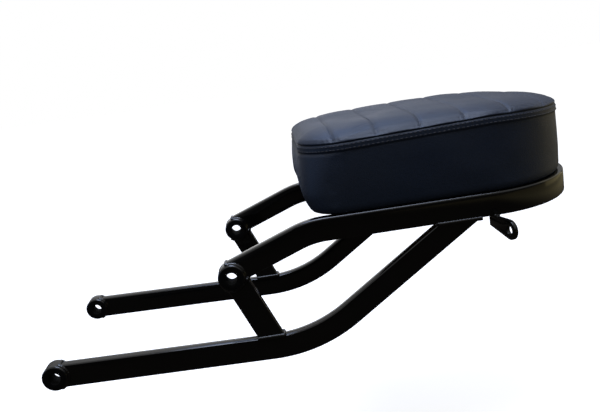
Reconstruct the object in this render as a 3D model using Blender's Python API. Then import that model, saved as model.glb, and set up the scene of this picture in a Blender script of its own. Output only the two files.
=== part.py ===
"""Passenger seat rack for a wide-tyred bicycle.

A welded frame of bent rectangular steel tube carries an upholstered seat
cushion. The origin is the middle of the line through the two lower bushes.
+X points to the rear of the bicycle, +Z up, and the rider's left is -Y.
Lengths are in metres and angles in degrees.
"""
import math

import bmesh
import bpy
from mathutils import Matrix, Vector

# Rectangular tube, used for the hoop, the rails and the struts
TUBE_HEIGHT = 0.025
TUBE_WIDTH = 0.012
TUBE_WALL = 0.0015
TUBE_CORNER = 0.0022
CORNER_STEPS = 3

# Frame as a whole
FRAME_WIDTH = 0.216
JOINT_GAP = 0.0003

# Turned bushes that bolt to the bicycle
LOWER_BUSH_DIAMETER = 0.027
LOWER_BUSH_BORE = 0.012
UPPER_LUG_DIAMETER = 0.028
UPPER_LUG_BORE = 0.012
BUSH_LENGTH = 0.020
BUSH_CHAMFER = 0.0012
UPPER_LUG_X = 0.196
UPPER_LUG_Z = 0.0778
TURNED_STEPS = 48

# Lower rails: a straight run from the bush, then a bend up to the hoop
RAIL_DIP_ANGLE = 1.4
RAIL_HEEL_SETBACK = 0.015
RAIL_BEND_RADIUS = 0.146
RAIL_RISE_ANGLE = 33.6
RAIL_BEND_STEPS = 12

# Seat hoop: arms slope up from the lugs, then run level round the rear
HOOP_TOP_Z = 0.1254
HOOP_REACH = 0.581
ARM_KNEE_X = 0.2822
ARM_ANGLE = 20.1
ARM_BEND_RADIUS = 0.090
ARM_BEND_STEPS = 7
HOOP_ROUND_STEPS = 36

# Struts between the arms and the rails
STRUT_ANGLE = 67.5
STRUT_HEAD_SETBACK = 0.005

# Ears for lamps: small plates on edge below the hoop, one each side
EAR_RADIUS = 0.010
EAR_THICKNESS = 0.004
EAR_HOLE = 0.009
EAR_SWEEP_ANGLE = 15.0
EAR_DROP_ANGLE = 15.0
EAR_HOLE_REACH = 0.022
EAR_HOLE_SETBACK = 0.0065
EAR_ROOT_OVERLAP = 0.0115
EAR_END_STEPS = 16

# Two flat plates between the arms, which the seat is screwed to
PLATE_WIDTH = 0.030
PLATE_THICKNESS = 0.004
PLATE_HOLE = 0.007
FRONT_PLATE_SETBACK = 0.045
PLATE_SPACING = 0.120
SCREW_END_INSET = 0.036

# Seat cushion
SEAT_FRONT_X = 0.2845
SEAT_SIDE_INSET = 0.001
SEAT_REAR_INSET = 0.0043
SEAT_FRONT_CORNER = 0.055
SEAT_FRONT_BAND = 0.0705
SEAT_REAR_BAND = 0.0795
SEAT_FRONT_CROWN = 0.0155
SEAT_REAR_CROWN = 0.0095
SEAT_BULGE = 0.001
SEAT_FOOT_ROUND = 0.004
SEAT_SHOULDER = 0.0015
SEAT_CORNER_STEPS = 9
SEAT_REAR_STEPS = 28

# Base board inside the foot of the cushion
BOARD_THICKNESS = 0.010
BOARD_INSET = 0.009

# Fasteners between the plates and the board
SCREW_DIAMETER = 0.006
SCREW_LENGTH = 0.016
SCREW_HEAD_FLATS = 0.010
SCREW_HEAD_HEIGHT = 0.004
BORE_CLEARANCE = 0.0003
WASHER_DIAMETER = 0.014
WASHER_THICKNESS = 0.0016
NUT_FLANGE_DIAMETER = 0.019
NUT_FLANGE_THICKNESS = 0.0012
NUT_BARREL_DIAMETER = 0.0082
NUT_BARREL_LENGTH = 0.0075
FASTENER_STEPS = 20

# Directions
REARWARD = Vector((1.0, 0.0, 0.0))
RIGHT = Vector((0.0, 1.0, 0.0))
UP = Vector((0.0, 0.0, 1.0))

# Places worked out from the sizes above
SIDE_Y = (FRAME_WIDTH - TUBE_WIDTH) / 2
HOOP_Z = HOOP_TOP_Z - TUBE_HEIGHT / 2
HOOP_UNDERSIDE_Z = HOOP_TOP_Z - TUBE_HEIGHT
HOOP_ROUND_X = HOOP_REACH - FRAME_WIDTH / 2
SCREW_Y = FRAME_WIDTH / 2 - TUBE_WIDTH - SCREW_END_INSET


def slope(angle):
    """Return the direction in the side view that rises rearward by an angle."""
    turn = math.radians(angle)
    return Vector((math.cos(turn), 0.0, math.sin(turn)))


def square_to(direction):
    """Return the side-view direction square to another, on its upper side."""
    return Vector((-direction.z, 0.0, direction.x))


def meet(point, direction, plane_point, plane_normal):
    """Return where a line through a point crosses a plane."""
    travel = (plane_point - point).dot(plane_normal) / direction.dot(plane_normal)
    return point + direction * travel


def make_material(name, colour, roughness, metallic):
    """Make a plain material from its linear colour and surface values."""
    material = bpy.data.materials.new(name)
    material.use_nodes = True
    shader = material.node_tree.nodes["Principled BSDF"]
    shader.inputs["Base Color"].default_value = (*colour, 1.0)
    shader.inputs["Roughness"].default_value = roughness
    shader.inputs["Metallic"].default_value = metallic
    return material


def mesh_from(name, bm):
    """Close a bmesh into a named mesh with its faces pointing out."""
    bmesh.ops.recalc_face_normals(bm, faces=bm.faces)
    mesh = bpy.data.meshes.new(name)
    bm.to_mesh(mesh)
    bm.free()
    return mesh


def add_piece(name, mesh, material, location=(0.0, 0.0, 0.0)):
    """Add one named piece of the rack, shaded smooth up to its sharp edges."""
    piece = bpy.data.objects.new(name, mesh)
    bpy.context.scene.collection.objects.link(piece)
    piece.location = location
    if not mesh.materials:
        mesh.materials.append(material)
        mesh.shade_smooth()
        mesh.set_sharp_from_angle(angle=math.radians(32))
    return piece


def combine(mesh, tools, operation):
    """Return a mesh after a Boolean with each tool mesh in turn."""
    scene_objects = bpy.context.scene.collection.objects
    work = bpy.data.objects.new("work", mesh)
    scene_objects.link(work)
    helpers = []
    for tool in tools:
        helper = bpy.data.objects.new("helper", tool)
        helper.hide_render = True
        helper.display_type = "WIRE"
        scene_objects.link(helper)
        helpers.append(helper)
        step = work.modifiers.new("step", "BOOLEAN")
        step.operation = operation
        step.object = helper
    graph = bpy.context.evaluated_depsgraph_get()
    result = bpy.data.meshes.new_from_object(work.evaluated_get(graph))
    result.name = mesh.name
    for used in (work, *helpers):
        bpy.data.objects.remove(used)
    return result


def cylinder_mesh(radius, length, centre, axis, steps=TURNED_STEPS):
    """Make a cylinder about a centre, along an axis."""
    bm = bmesh.new()
    turn = UP.rotation_difference(axis).to_matrix().to_4x4()
    bmesh.ops.create_cone(
        bm,
        cap_ends=True,
        segments=steps,
        radius1=radius,
        radius2=radius,
        depth=length,
        matrix=Matrix.Translation(centre) @ turn,
    )
    return mesh_from("cylinder", bm)


def turned_mesh(name, profile, axis, steps):
    """Turn a profile of (radius, height) points about an axis through the origin."""
    bm = bmesh.new()
    across = axis.orthogonal().normalized()
    verts = [bm.verts.new(across * radius + axis * height) for radius, height in profile]
    edges = [bm.edges.new(pair) for pair in zip(verts, verts[1:] + verts[:1])]
    bmesh.ops.spin(
        bm,
        geom=verts + edges,
        cent=(0.0, 0.0, 0.0),
        axis=axis,
        angle=2 * math.pi,
        steps=steps,
    )
    bmesh.ops.remove_doubles(bm, verts=bm.verts, dist=1e-6)
    return mesh_from(name, bm)


def ring_mesh(name, diameter, bore, length, chamfer, axis, steps):
    """Turn a bush or washer, centred on the origin, with chamfered rims."""
    outer = diameter / 2
    inner = bore / 2
    end = length / 2
    profile = [
        (inner, -end),
        (outer - chamfer, -end),
        (outer, chamfer - end),
        (outer, end - chamfer),
        (outer - chamfer, end),
        (inner, end),
    ]
    return turned_mesh(name, profile, axis, steps)


def arc(centre, radii, start, end, steps):
    """Return points along an arc in a plane, both ends included."""
    points = []
    for step in range(steps + 1):
        turn = math.radians(start + (end - start) * step / steps)
        points.append((
            centre[0] + radii[0] * math.cos(turn),
            centre[1] + radii[1] * math.sin(turn),
        ))
    return points


def plate_mesh(name, outline, origin, along, across, thickness):
    """Extrude a flat outline, drawn along two directions, to a thickness."""
    bm = bmesh.new()
    verts = [bm.verts.new(origin + along * u + across * v) for u, v in outline]
    face = bm.faces.new(verts)
    grown = bmesh.ops.extrude_face_region(bm, geom=[face])
    moved = [item for item in grown["geom"] if isinstance(item, bmesh.types.BMVert)]
    bmesh.ops.translate(bm, verts=moved, vec=along.cross(across) * thickness)
    return mesh_from(name, bm)


class BentTube:
    """A rectangular tube that is pushed along straights and round bends."""

    def __init__(self, start, heading):
        self.place = start.copy()
        self.heading = heading.normalized()
        self.bm = bmesh.new()
        side = RIGHT * TUBE_WIDTH / 2
        rise = self.heading.cross(RIGHT) * TUBE_HEIGHT / 2
        corners = [
            self.bm.verts.new(start + side * i + rise * j)
            for i, j in ((-1, -1), (1, -1), (1, 1), (-1, 1))
        ]
        self.bm.faces.new(corners)
        bmesh.ops.bevel(
            self.bm,
            geom=corners,
            offset=TUBE_CORNER,
            offset_type="OFFSET",
            segments=CORNER_STEPS,
            profile=0.5,
            affect="VERTICES",
        )
        core = self.bm.faces[:]
        bmesh.ops.inset_region(
            self.bm, faces=core, thickness=TUBE_WALL, use_boundary=True, use_even_offset=True
        )
        bmesh.ops.delete(self.bm, geom=core, context="FACES_ONLY")
        self.open_edges = [edge for edge in self.bm.edges if edge.is_boundary]
        self.start_verts = self.bm.verts[:]

    def end_verts(self):
        """Return the corner points of the section at the open end."""
        return list({vert for edge in self.open_edges for vert in edge.verts})

    def straight(self, length):
        """Push the tube straight on."""
        grown = bmesh.ops.extrude_edge_only(self.bm, edges=self.open_edges)["geom"]
        moved = [item for item in grown if isinstance(item, bmesh.types.BMVert)]
        bmesh.ops.translate(self.bm, verts=moved, vec=self.heading * length)
        self.open_edges = [item for item in grown if isinstance(item, bmesh.types.BMEdge)]
        self.place += self.heading * length

    def bend(self, radius, angle, inward, steps):
        """Bend the tube by an angle towards a centre on its inward side."""
        centre = self.place + inward * radius
        axis = self.heading.cross(inward)
        swept = bmesh.ops.spin(
            self.bm,
            geom=self.end_verts() + self.open_edges,
            cent=centre,
            axis=axis,
            angle=math.radians(angle),
            steps=steps,
        )["geom_last"]
        self.open_edges = [item for item in swept if isinstance(item, bmesh.types.BMEdge)]
        turn = Matrix.Rotation(math.radians(angle), 3, axis)
        self.place = centre + turn @ (self.place - centre)
        self.heading = turn @ self.heading

    def mitre(self, verts, point, normal):
        """Slide the points of one end along the tube onto a cutting plane."""
        for vert in verts:
            vert.co = meet(vert.co, self.heading, point, normal)

    def mesh(self, name):
        """Close the far end of the wall and return the tube."""
        bmesh.ops.bridge_loops(self.bm, edges=self.open_edges)
        return mesh_from(name, self.bm)


def rail_straight():
    """Return the rail's straight run that brings its heel to its place on the hoop."""
    dip = slope(-RAIL_DIP_ANGLE)
    rise = slope(RAIL_RISE_ANGLE)
    centre = square_to(dip) * RAIL_BEND_RADIUS
    underside = centre - square_to(rise) * (RAIL_BEND_RADIUS + TUBE_HEIGHT / 2)
    heel = meet(underside, rise, UP * HOOP_UNDERSIDE_Z, UP)
    shift = HOOP_ROUND_X - RAIL_HEEL_SETBACK - heel.x
    return shift / (dip.x - dip.z * rise.x / rise.z)


def rail_mesh():
    """Bend a lower rail about its bush axis, coped there and mitred under the hoop."""
    tube = BentTube(Vector(), slope(-RAIL_DIP_ANGLE))
    tube.straight(rail_straight())
    tube.bend(
        RAIL_BEND_RADIUS,
        RAIL_DIP_ANGLE + RAIL_RISE_ANGLE,
        square_to(slope(-RAIL_DIP_ANGLE)),
        RAIL_BEND_STEPS,
    )
    tube.straight(TUBE_HEIGHT)
    tube.mitre(tube.end_verts(), UP * (HOOP_UNDERSIDE_Z - JOINT_GAP), UP)
    cope = cylinder_mesh(
        LOWER_BUSH_DIAMETER / 2 + JOINT_GAP, BUSH_LENGTH * 2, Vector(), RIGHT
    )
    return combine(tube.mesh("lower_rail"), [cope], "DIFFERENCE")


def arm_line():
    """Return the knee of the left arm's centre line and the arm's direction."""
    return Vector((ARM_KNEE_X, 0.0, HOOP_Z)), slope(ARM_ANGLE)


def lug_cope(y):
    """Return the cutter that leaves a weld gap round an upper lug."""
    centre = Vector((UPPER_LUG_X, y, UPPER_LUG_Z))
    return cylinder_mesh(UPPER_LUG_DIAMETER / 2 + JOINT_GAP, BUSH_LENGTH * 2, centre, RIGHT)


def hoop_mesh():
    """Bend the seat hoop in one piece, from the left lug to the right one."""
    knee, direction = arm_line()
    start = meet(knee, direction, REARWARD * UPPER_LUG_X, REARWARD)
    knee_reach = ARM_BEND_RADIUS * math.tan(math.radians(ARM_ANGLE / 2))
    arm_length = (knee - start).length - knee_reach
    level_length = HOOP_ROUND_X - knee.x - knee_reach
    tube = BentTube(start - RIGHT * SIDE_Y, direction)
    tube.straight(arm_length)
    tube.bend(ARM_BEND_RADIUS, ARM_ANGLE, -square_to(direction), ARM_BEND_STEPS)
    tube.straight(level_length)
    tube.bend(SIDE_Y, 180, RIGHT, HOOP_ROUND_STEPS)
    tube.straight(level_length)
    tube.bend(ARM_BEND_RADIUS, ARM_ANGLE, -UP, ARM_BEND_STEPS)
    tube.straight(arm_length)
    copes = [lug_cope(-SIDE_Y), lug_cope(SIDE_Y)]
    return combine(tube.mesh("seat_hoop"), copes, "DIFFERENCE")


def rail_top_cope():
    """Return the cutter that leaves a weld gap along the top of a rail."""
    dip = slope(-RAIL_DIP_ANGLE)
    centre = dip * rail_straight() + square_to(dip) * RAIL_BEND_RADIUS
    radius = RAIL_BEND_RADIUS - TUBE_HEIGHT / 2 - JOINT_GAP
    outline = arc(
        (centre.x, centre.z),
        (radius, radius),
        RAIL_RISE_ANGLE - 90,
        -90 - RAIL_DIP_ANGLE,
        RAIL_BEND_STEPS,
    )
    front = centre - square_to(dip) * radius - dip * rail_straight()
    outline += [(front.x, front.z), (front.x, -TUBE_HEIGHT), (outline[0][0], -TUBE_HEIGHT)]
    return plate_mesh("cope", outline, RIGHT * TUBE_WIDTH, REARWARD, UP, TUBE_WIDTH * 2)


def strut_mesh():
    """Cut a strut to fit under the arm and the lug, and down onto the rail."""
    knee, arm_direction = arm_line()
    arm_normal = square_to(arm_direction)
    under_arm = knee - arm_normal * (TUBE_HEIGHT / 2 + JOINT_GAP)
    head_x = UPPER_LUG_X + STRUT_HEAD_SETBACK
    head = meet(under_arm, arm_direction, REARWARD * head_x, REARWARD)
    tube = BentTube(head, slope(-STRUT_ANGLE))
    tube.mitre(tube.start_verts, head, arm_normal)
    tube.straight(UPPER_LUG_Z)
    return combine(tube.mesh("strut"), [lug_cope(0.0), rail_top_cope()], "DIFFERENCE")


def ear_mesh(turn):
    """Cut a lamp ear: it sweeps out and down from the hoop to a round, bored end.

    The top is trimmed along the underside of the hoop.
    """
    sweep = math.radians(EAR_SWEEP_ANGLE)
    drop = math.radians(EAR_DROP_ANGLE)
    outward = Vector((math.sin(sweep), turn * math.cos(sweep), 0.0))
    top = ear_hole_drop() - JOINT_GAP
    root = (EAR_HOLE_REACH + EAR_ROOT_OVERLAP) / math.cos(sweep)
    foot = (root - EAR_RADIUS * math.sin(drop)) * math.tan(drop) - EAR_RADIUS * math.cos(drop)
    tip = arc(
        (0.0, 0.0), (EAR_RADIUS, EAR_RADIUS), -90 - EAR_DROP_ANGLE, 90 - EAR_DROP_ANGLE,
        EAR_END_STEPS,
    )
    shoulder = tip[-1][0] - (top - tip[-1][1]) / math.tan(drop)
    outline = tip + [(shoulder, top), (-root, top), (-root, foot)]
    skin = outward.cross(UP) * EAR_THICKNESS / 2
    ear = plate_mesh("rear_ear", outline, -skin, outward, UP, EAR_THICKNESS)
    hole = cylinder_mesh(EAR_HOLE / 2, EAR_THICKNESS * 2, Vector(), outward.cross(UP), 24)
    return combine(ear, [hole], "DIFFERENCE")


def ear_hole_drop():
    """Return how far the ear's hole lies below the underside of the hoop.

    The round end of the ear just clears the hoop's underside.
    """
    return EAR_RADIUS + 2 * JOINT_GAP


def cross_plate_mesh():
    """Cut a seat plate to fit between the arms, with its two screw holes."""
    half_width = PLATE_WIDTH / 2
    half_span = FRAME_WIDTH / 2 - TUBE_WIDTH - JOINT_GAP
    outline = [
        (-half_width, -half_span),
        (half_width, -half_span),
        (half_width, half_span),
        (-half_width, half_span),
    ]
    plate = plate_mesh(
        "cross_plate", outline, -UP * PLATE_THICKNESS, REARWARD, RIGHT, PLATE_THICKNESS
    )
    holes = [
        cylinder_mesh(PLATE_HOLE / 2, PLATE_THICKNESS * 4, RIGHT * y, UP, FASTENER_STEPS)
        for y in (-SCREW_Y, SCREW_Y)
    ]
    return combine(plate, holes, "DIFFERENCE")


def seat_outline(inset):
    """Return the seat's outline in plan, drawn in from its edge all round.

    The front is square with rounded corners, the rear a half oval that
    follows the hoop.
    """
    half_width = FRAME_WIDTH / 2 - SEAT_SIDE_INSET
    half = half_width - inset
    corner = SEAT_FRONT_CORNER * half / half_width
    front = SEAT_FRONT_X + inset
    rear = HOOP_REACH - SEAT_REAR_INSET - inset - HOOP_ROUND_X
    points = arc(
        (front + corner, corner - half), (corner, corner), 180, 270, SEAT_CORNER_STEPS
    )
    points += arc((HOOP_ROUND_X, 0.0), (rear, half), -90, 90, SEAT_REAR_STEPS)
    points += arc(
        (front + corner, half - corner), (corner, corner), 90, 180, SEAT_CORNER_STEPS
    )
    return points


def graded(front, rear, x):
    """Return a value that grades evenly from the seat's front to its rear."""
    share = (x - SEAT_FRONT_X) / (HOOP_REACH - SEAT_FRONT_X)
    return front + (rear - front) * share


def seam_rise(x):
    """Return the height of the top seam above the seat's foot at a place."""
    return graded(SEAT_FRONT_BAND, SEAT_REAR_BAND, x)


def crown_rise(inset, x):
    """Return how far the crowned top stands above the seam, in from the edge."""
    half_width = FRAME_WIDTH / 2 - SEAT_SIDE_INSET
    outside = 1 - (inset - SEAT_SHOULDER) / (half_width - SEAT_SHOULDER)
    return graded(SEAT_FRONT_CROWN, SEAT_REAR_CROWN, x) * (1 - outside ** 4)


def board_seat_z():
    """Return the height of the plane that the board and cushion rest on."""
    return HOOP_TOP_Z + JOINT_GAP


def cushion_mesh():
    """Build the cushion: a tall side band, a crowned top and a pocket for the board."""
    foot = board_seat_z()
    half_width = FRAME_WIDTH / 2 - SEAT_SIDE_INSET
    levels = []
    side = [
        (SEAT_FOOT_ROUND, 0.0),
        (SEAT_FOOT_ROUND * 0.3, SEAT_FOOT_ROUND * 0.8),
        (0.0, SEAT_FOOT_ROUND * 2.2),
    ]
    for inset, rise in side:
        levels.append([(x, y, foot + rise) for x, y in seat_outline(inset)])
    for inset, share in ((-SEAT_BULGE, 0.5), (0.0, 0.93), (SEAT_SHOULDER, 1.0)):
        levels.append([(x, y, foot + seam_rise(x) * share) for x, y in seat_outline(inset)])
    for share in (0.05, 0.13, 0.26, 0.42, 0.6, 0.78):
        inset = half_width * share
        levels.append([
            (x, y, foot + seam_rise(x) + crown_rise(inset, x)) for x, y in seat_outline(inset)
        ])
    bm = bmesh.new()
    loops = []
    for level in levels:
        verts = [bm.verts.new(point) for point in level]
        loops.append([bm.edges.new(pair) for pair in zip(verts, verts[1:] + verts[:1])])
    for lower, upper in zip(loops, loops[1:]):
        bmesh.ops.bridge_loops(bm, edges=lower + upper)
    for rim in (loops[0], loops[-1]):
        bmesh.ops.contextual_create(bm, geom=rim)
    depth = BOARD_THICKNESS + JOINT_GAP
    pocket = plate_mesh(
        "pocket", seat_outline(BOARD_INSET - JOINT_GAP), UP * (foot - depth), REARWARD, RIGHT,
        depth * 2,
    )
    return combine(mesh_from("seat_cushion", bm), [pocket], "DIFFERENCE")


def screw_places():
    """Return where the four seat screws stand in plan."""
    front = SEAT_FRONT_X + FRONT_PLATE_SETBACK
    return [
        (end, side, front + PLATE_SPACING * step, SCREW_Y * turn)
        for end, step in (("front", 0), ("rear", 1))
        for side, turn in (("left", -1), ("right", 1))
    ]


def board_mesh():
    """Cut the base board, bored and counterbored for the tee nuts."""
    foot = board_seat_z()
    board = plate_mesh(
        "seat_base_board", seat_outline(BOARD_INSET), UP * foot, REARWARD, RIGHT, BOARD_THICKNESS
    )
    cuts = []
    sink = NUT_FLANGE_THICKNESS + 2 * JOINT_GAP
    for _, _, x, y in screw_places():
        middle = Vector((x, y, foot))
        bore = NUT_BARREL_DIAMETER / 2 + JOINT_GAP
        cuts.append(cylinder_mesh(bore, BOARD_THICKNESS * 4, middle, UP, FASTENER_STEPS))
        rim = NUT_FLANGE_DIAMETER / 2 + JOINT_GAP
        top = middle + UP * BOARD_THICKNESS
        cuts.append(cylinder_mesh(rim, sink * 2, top, UP, FASTENER_STEPS))
    return combine(board, cuts, "DIFFERENCE")


def tee_nut_mesh():
    """Turn a tee nut: a flange on top, and a bored barrel below it."""
    bore = SCREW_DIAMETER / 2 + BORE_CLEARANCE
    barrel = NUT_BARREL_DIAMETER / 2
    flange = NUT_FLANGE_DIAMETER / 2
    profile = [
        (bore, -NUT_BARREL_LENGTH),
        (barrel, -NUT_BARREL_LENGTH),
        (barrel, -NUT_FLANGE_THICKNESS),
        (flange, -NUT_FLANGE_THICKNESS),
        (flange, 0.0),
        (bore, 0.0),
    ]
    return turned_mesh("tee_nut", profile, UP, FASTENER_STEPS)


def screw_mesh():
    """Make a hexagon-head screw that points up, its origin under the head's seat."""
    tip = SCREW_DIAMETER / 8
    radius = SCREW_DIAMETER / 2
    profile = [
        (0.0, -SCREW_HEAD_HEIGHT / 2),
        (radius, -SCREW_HEAD_HEIGHT / 2),
        (radius, SCREW_LENGTH - tip),
        (radius - tip, SCREW_LENGTH),
        (0.0, SCREW_LENGTH),
    ]
    shank = turned_mesh("seat_screw", profile, UP, FASTENER_STEPS)
    corner_radius = SCREW_HEAD_FLATS / 2 / math.cos(math.radians(30))
    head = cylinder_mesh(
        corner_radius, SCREW_HEAD_HEIGHT, -UP * SCREW_HEAD_HEIGHT / 2, UP, 6
    )
    return combine(shank, [head], "UNION")


def build_frame(paint):
    """Add every welded piece of the frame."""
    add_piece("seat_hoop", hoop_mesh(), paint)
    rail = rail_mesh()
    strut = strut_mesh()
    lower_bush = ring_mesh(
        "lower_bush", LOWER_BUSH_DIAMETER, LOWER_BUSH_BORE, BUSH_LENGTH,
        BUSH_CHAMFER, RIGHT, TURNED_STEPS,
    )
    upper_lug = ring_mesh(
        "upper_lug", UPPER_LUG_DIAMETER, UPPER_LUG_BORE, BUSH_LENGTH,
        BUSH_CHAMFER, RIGHT, TURNED_STEPS,
    )
    for side, turn in (("left", -1), ("right", 1)):
        plane = RIGHT * SIDE_Y * turn
        lug_place = plane + Vector((UPPER_LUG_X, 0.0, UPPER_LUG_Z))
        add_piece("lower_rail_" + side, rail, paint, plane)
        add_piece("strut_" + side, strut, paint, plane)
        add_piece("lower_bush_" + side, lower_bush, paint, plane)
        add_piece("upper_lug_" + side, upper_lug, paint, lug_place)
        ear_place = Vector((
            HOOP_ROUND_X + EAR_HOLE_SETBACK,
            turn * (FRAME_WIDTH / 2 + EAR_HOLE_REACH),
            HOOP_UNDERSIDE_Z - ear_hole_drop(),
        ))
        add_piece("rear_ear_" + side, ear_mesh(turn), paint, ear_place)
    plate = cross_plate_mesh()
    front_x = SEAT_FRONT_X + FRONT_PLATE_SETBACK
    add_piece("front_cross_plate", plate, paint, (front_x, 0.0, HOOP_TOP_Z))
    add_piece("rear_cross_plate", plate, paint, (front_x + PLATE_SPACING, 0.0, HOOP_TOP_Z))


def build_seat(vinyl, wood, zinc):
    """Add the cushion, its board and the fasteners that hold it."""
    add_piece("seat_cushion", cushion_mesh(), vinyl)
    add_piece("seat_base_board", board_mesh(), wood)
    washer = ring_mesh(
        "washer", WASHER_DIAMETER, SCREW_DIAMETER + 2 * BORE_CLEARANCE, WASHER_THICKNESS,
        WASHER_THICKNESS / 8, UP, FASTENER_STEPS,
    )
    screw = screw_mesh()
    nut = tee_nut_mesh()
    washer_z = HOOP_TOP_Z - PLATE_THICKNESS - JOINT_GAP - WASHER_THICKNESS / 2
    screw_z = washer_z - WASHER_THICKNESS / 2 - JOINT_GAP
    nut_z = board_seat_z() + BOARD_THICKNESS - JOINT_GAP
    for end, side, x, y in screw_places():
        place = "_" + end + "_" + side
        add_piece("washer" + place, washer, zinc, (x, y, washer_z))
        add_piece("seat_screw" + place, screw, zinc, (x, y, screw_z))
        add_piece("tee_nut" + place, nut, zinc, (x, y, nut_z))


def main():
    """Clear the scene and model the rack."""
    for old in list(bpy.data.objects):
        bpy.data.objects.remove(old)
    paint = make_material("black_gloss_paint", (0.006, 0.006, 0.007), 0.22, 0.0)
    vinyl = make_material("navy_leatherette", (0.020, 0.026, 0.042), 0.42, 0.0)
    wood = make_material("birch_plywood", (0.48, 0.33, 0.18), 0.65, 0.0)
    zinc = make_material("zinc_plated_steel", (0.60, 0.61, 0.63), 0.30, 1.0)
    build_frame(paint)
    build_seat(vinyl, wood, zinc)


main()
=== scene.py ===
"""Looks for a bicycle's passenger seat rack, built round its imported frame.

The steel frame is smoothed, welded and painted, the cushion is blown up,
quilted and stitched, and the whole stands in a plain white studio.
"""
import math

import bmesh
import bpy
from mathutils import Matrix, Vector, noise
from mathutils.bvhtree import BVHTree


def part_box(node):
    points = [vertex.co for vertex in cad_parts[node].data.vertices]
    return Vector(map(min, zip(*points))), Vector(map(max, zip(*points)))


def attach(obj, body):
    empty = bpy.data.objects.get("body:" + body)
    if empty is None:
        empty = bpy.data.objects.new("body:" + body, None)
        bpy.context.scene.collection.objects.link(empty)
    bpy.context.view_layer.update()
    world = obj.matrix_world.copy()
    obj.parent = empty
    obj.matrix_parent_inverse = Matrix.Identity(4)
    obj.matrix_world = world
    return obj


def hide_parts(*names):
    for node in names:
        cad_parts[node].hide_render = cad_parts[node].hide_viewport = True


bl_info = {
    "name": "Passenger Seat Rack",
    "version": (1, 0, 0),
    "blender": (4, 5, 0),
    "location": "3D View > Sidebar > Seat Rack",
    "description": "Dresses the frame of a bicycle's passenger seat rack",
    "category": "Object",
}

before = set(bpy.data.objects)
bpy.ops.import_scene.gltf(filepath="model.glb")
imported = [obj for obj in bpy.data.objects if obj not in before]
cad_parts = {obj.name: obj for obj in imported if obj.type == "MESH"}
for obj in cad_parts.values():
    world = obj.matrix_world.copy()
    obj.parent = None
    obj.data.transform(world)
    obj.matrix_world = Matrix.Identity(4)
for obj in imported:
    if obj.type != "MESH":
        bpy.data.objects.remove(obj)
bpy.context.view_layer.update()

# Steel frame, in metres, as the frame's solids have it
TUBE_HEIGHT = 0.025
TUBE_WIDTH = 0.012
SIDE_Y = 0.102
LOWER_BUSH_RADIUS = 0.0135
UPPER_LUG_RADIUS = 0.014
BOLT_HOLE_RADIUS = 0.006
UPPER_LUG = Vector((0.196, 0.0, 0.0778))
ARM_KNEE = Vector((0.2822, 0.0, 0.1129))
ARM_ANGLE = 20.1
STRUT_ANGLE = 67.5
STRUT_HEAD_SETBACK = 0.005
RAIL_DIP_ANGLE = 1.4
RAIL_RISE_ANGLE = 33.6
EAR_SWEEP_ANGLE = 15.0
EAR_HALF_THICKNESS = 0.002

# Clean-up of the copied solids, in metres and degrees
MERGE_DISTANCE = 0.00001
FLAT_ANGLE = 1
EDGE_ANGLE = 35
EDGE_BREAK = 0.0005
SMOOTH_ANGLE = 30
BORE_TOLERANCE = 0.0002

# Weld beads, in metres and degrees
ARM_WELD_START = 88
STRUT_WELD_START = -122
STRUT_WELD_END = -56
ARM_WELD_SINK = 0.0012
FOOT_WELD_LIFT = 0.0006
EAR_WELD_INSET = 0.0025
PLATE_WELD_INSET = 0.003
WELD_VOXEL = 0.0005
RIPPLE_OVERLAP = 1.7
RIPPLE_HEIGHT = 0.7
RIPPLE_BEND = 90
RIPPLE_LEAN = 0.3

# Seat cushion, in metres, as the frame's solids have it
SEAT_FOOT_Z = 0.1257
HOOP_REACH = 0.581
SEAT_FRONT_X = 0.2845
SEAT_ROUND_X = 0.473
SEAT_HALF_WIDTH = 0.107
SEAT_REAR_REACH = 0.1037
SEAT_FRONT_CORNER = 0.055
SEAT_FRONT_BAND = 0.0705
SEAT_REAR_BAND = 0.0795
SEAT_HEEL_X = 0.475
SEAT_HEEL_DROP = 0.0080
BOARD_POCKET_INSET = 0.0087
BOARD_POCKET_DEPTH = 0.0103

# Steps of the cushion's outline, and of its side and top
FRONT_STEPS = 16
CORNER_STEPS = 26
SIDE_STEPS = 45
REAR_STEPS = 54
WALL_STEPS = 23
TOP_STEPS = 40

# The front of the side, from the foot up to the seam, in metres
FRONT_REACH = 0.003
FRONT_BULGE = 0.0024
FRONT_LEAN = 0.001
FRONT_TUCK = 0.006
TUCKED_SHARE = 0.3
FOOT_CORNER = 0.028
CORNER_GROWTH = 0.022

# Profile of the cover, as insets from the edge and heights, in metres
POCKET_LIP = 0.0002
FOOT_ROLL = ((0.0046, 0.0), (0.0024, 0.0014), (0.0011, 0.0040), (0.0006, 0.0075))
WALL_INSET = 0.0006
WALL_START = 0.0075
WALL_TRIM = 0.0155
SEAM_FOLD = (
    (0.0006, -0.0080), (0.0001, -0.0074), (-0.0001, -0.0066), (0.0, -0.0050),
    (0.0001, -0.0032), (0.0002, -0.0018), (0.0006, -0.0008), (0.0017, 0.0),
    (0.0009, 0.0007), (0.0006, 0.0018), (0.0012, 0.0032),
)
SHOULDER = 0.0022
CROWN_START = 0.0032
BOW_POWER = 9

# Swell of the cover: heights from the foot and the seam, in metres
HELD_FOOT = 0.008
HELD_UNDER_SEAM = -0.0085
HELD_OVER_SEAM = 0.0024
FOAM_PRESSURE = 4.0
SWELL_FRAMES = 20
RELAXED_FOOT = 0.012
CREASE_UNDER_SEAM = -0.0095
CREASE_OVER_SEAM = 0.0035

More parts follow.
